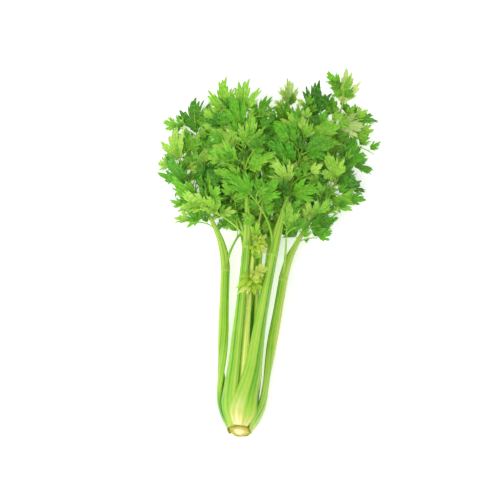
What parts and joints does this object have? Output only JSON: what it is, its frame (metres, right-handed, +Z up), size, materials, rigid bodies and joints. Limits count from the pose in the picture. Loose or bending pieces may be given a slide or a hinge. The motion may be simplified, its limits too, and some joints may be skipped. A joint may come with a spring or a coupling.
{
  "type": "head of celery",
  "caption": "Leafy head of celery lying on its side: ribbed crescent stalks clasp a short cut stem, each ending in a frond of lobed leaflets.",
  "frame": {"origin": "on the surface the head lies on, in the middle of the flat spot under the lowest outer stalk", "axes": "+Y along the head from the cut end to the leaf tips, +Z up, +X to the right as seen from the cut end"},
  "size_m": [0.2883, 0.5013, 0.1144],
  "materials": {
    "stem": "dry cut tissue, pale with a brown rim",
    "outer_stalk": "waxy, lightly ribbed",
    "inner_stalk": "waxy, lightly ribbed",
    "heart_stalk": "waxy, pale",
    "outer_leaf": "soft leaf, slight sheen",
    "inner_leaf": "soft leaf, slight sheen",
    "heart_leaf": "soft young leaf"
  },
  "bodies": {
    "root": {"stem": "stem", "outer_front_stalk": "outer_stalk", "outer_under_stalk": "outer_stalk", "outer_front_left_stalk": "outer_stalk", "outer_right_stalk": "outer_stalk", "outer_left_stalk": "outer_stalk", "inner_front_stalk": "inner_stalk", "inner_right_stalk": "inner_stalk", "inner_left_stalk": "inner_stalk", "inner_under_left_stalk": "inner_stalk", "inner_under_right_stalk": "inner_stalk", "heart_right_stalk": "heart_stalk", "heart_left_stalk": "heart_stalk", "outer_front_leaf": "outer_leaf", "outer_under_leaf": "outer_leaf", "outer_front_left_leaf": "outer_leaf", "outer_right_leaf": "outer_leaf", "outer_left_leaf": "outer_leaf", "inner_front_leaf": "inner_leaf", "inner_right_leaf": "inner_leaf", "inner_left_leaf": "inner_leaf", "inner_under_left_leaf": "inner_leaf", "inner_under_right_leaf": "inner_leaf", "heart_right_leaf": "heart_leaf", "heart_left_leaf": "heart_leaf"}
  },
  "joints": []
}
